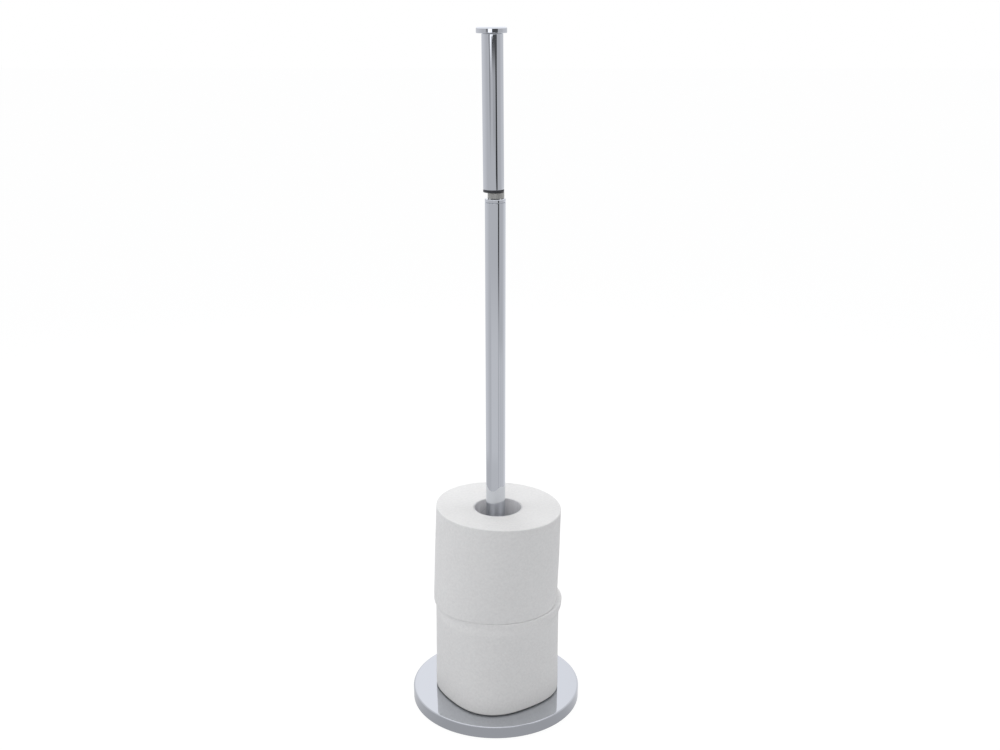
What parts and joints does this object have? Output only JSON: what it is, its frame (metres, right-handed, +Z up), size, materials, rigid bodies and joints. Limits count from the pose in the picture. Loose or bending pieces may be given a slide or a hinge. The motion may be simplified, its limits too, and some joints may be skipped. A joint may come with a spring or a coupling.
{
  "type": "freestanding toilet paper holder",
  "caption": "Chromed pole on a weighted round base that stores spare toilet rolls, with a folding upper arm that holds the roll in use.",
  "frame": {"origin": "on the floor under the middle of the round base, at the underside of its foam pad", "axes": "+Z up along the pole, -Y is the front, +X is to the right seen from the front, and the arm folds towards +Y"},
  "size_m": [0.1696, 0.1696, 0.648],
  "materials": {
    "chrome": "polished",
    "zinc_plate": "satin",
    "satin_steel": "satin",
    "spring_steel": "satin",
    "cast_iron": "matte",
    "black_foam": "matte",
    "black_nylon": "satin",
    "tissue_paper": "matte",
    "core_board": "matte"
  },
  "bodies": {
    "base": {"base_cover": "chrome", "base_weight": "cast_iron", "base_pad": "black_foam", "pole_screw": "zinc_plate", "lock_washer": "spring_steel", "flat_washer": "zinc_plate", "pole_foot": "zinc_plate", "pole_tube": "chrome", "hinge_socket": "chrome", "hinge_pin": "satin_steel", "hinge_washer_left": "spring_steel", "hinge_washer_right": "spring_steel"},
    "arm": {"hinge_tongue": "satin_steel", "arm_bush": "black_nylon", "arm_tube": "chrome", "arm_top_plug": "zinc_plate", "end_cap": "chrome"},
    "lower_roll": {"lower_roll_core": "core_board", "lower_roll_paper": "tissue_paper"},
    "upper_roll": {"upper_roll_core": "core_board", "upper_roll_paper": "tissue_paper"}
  },
  "joints": [
    {"name": "arm_fold", "type": "hinge", "parent": "base", "child": "arm", "pos_m": [0, 0, 0.4961], "axis": [-1, 0, 0], "range_deg": [0, 90]},
    {"name": "lower_roll_lift", "type": "slide", "parent": "base", "child": "lower_roll", "axis": [0, 0, 1], "range_m": [0, 0.65]},
    {"name": "upper_roll_lift", "type": "slide", "parent": "lower_roll", "child": "upper_roll", "axis": [0, 0, 1], "range_m": [0, 0.55]}
  ]
}
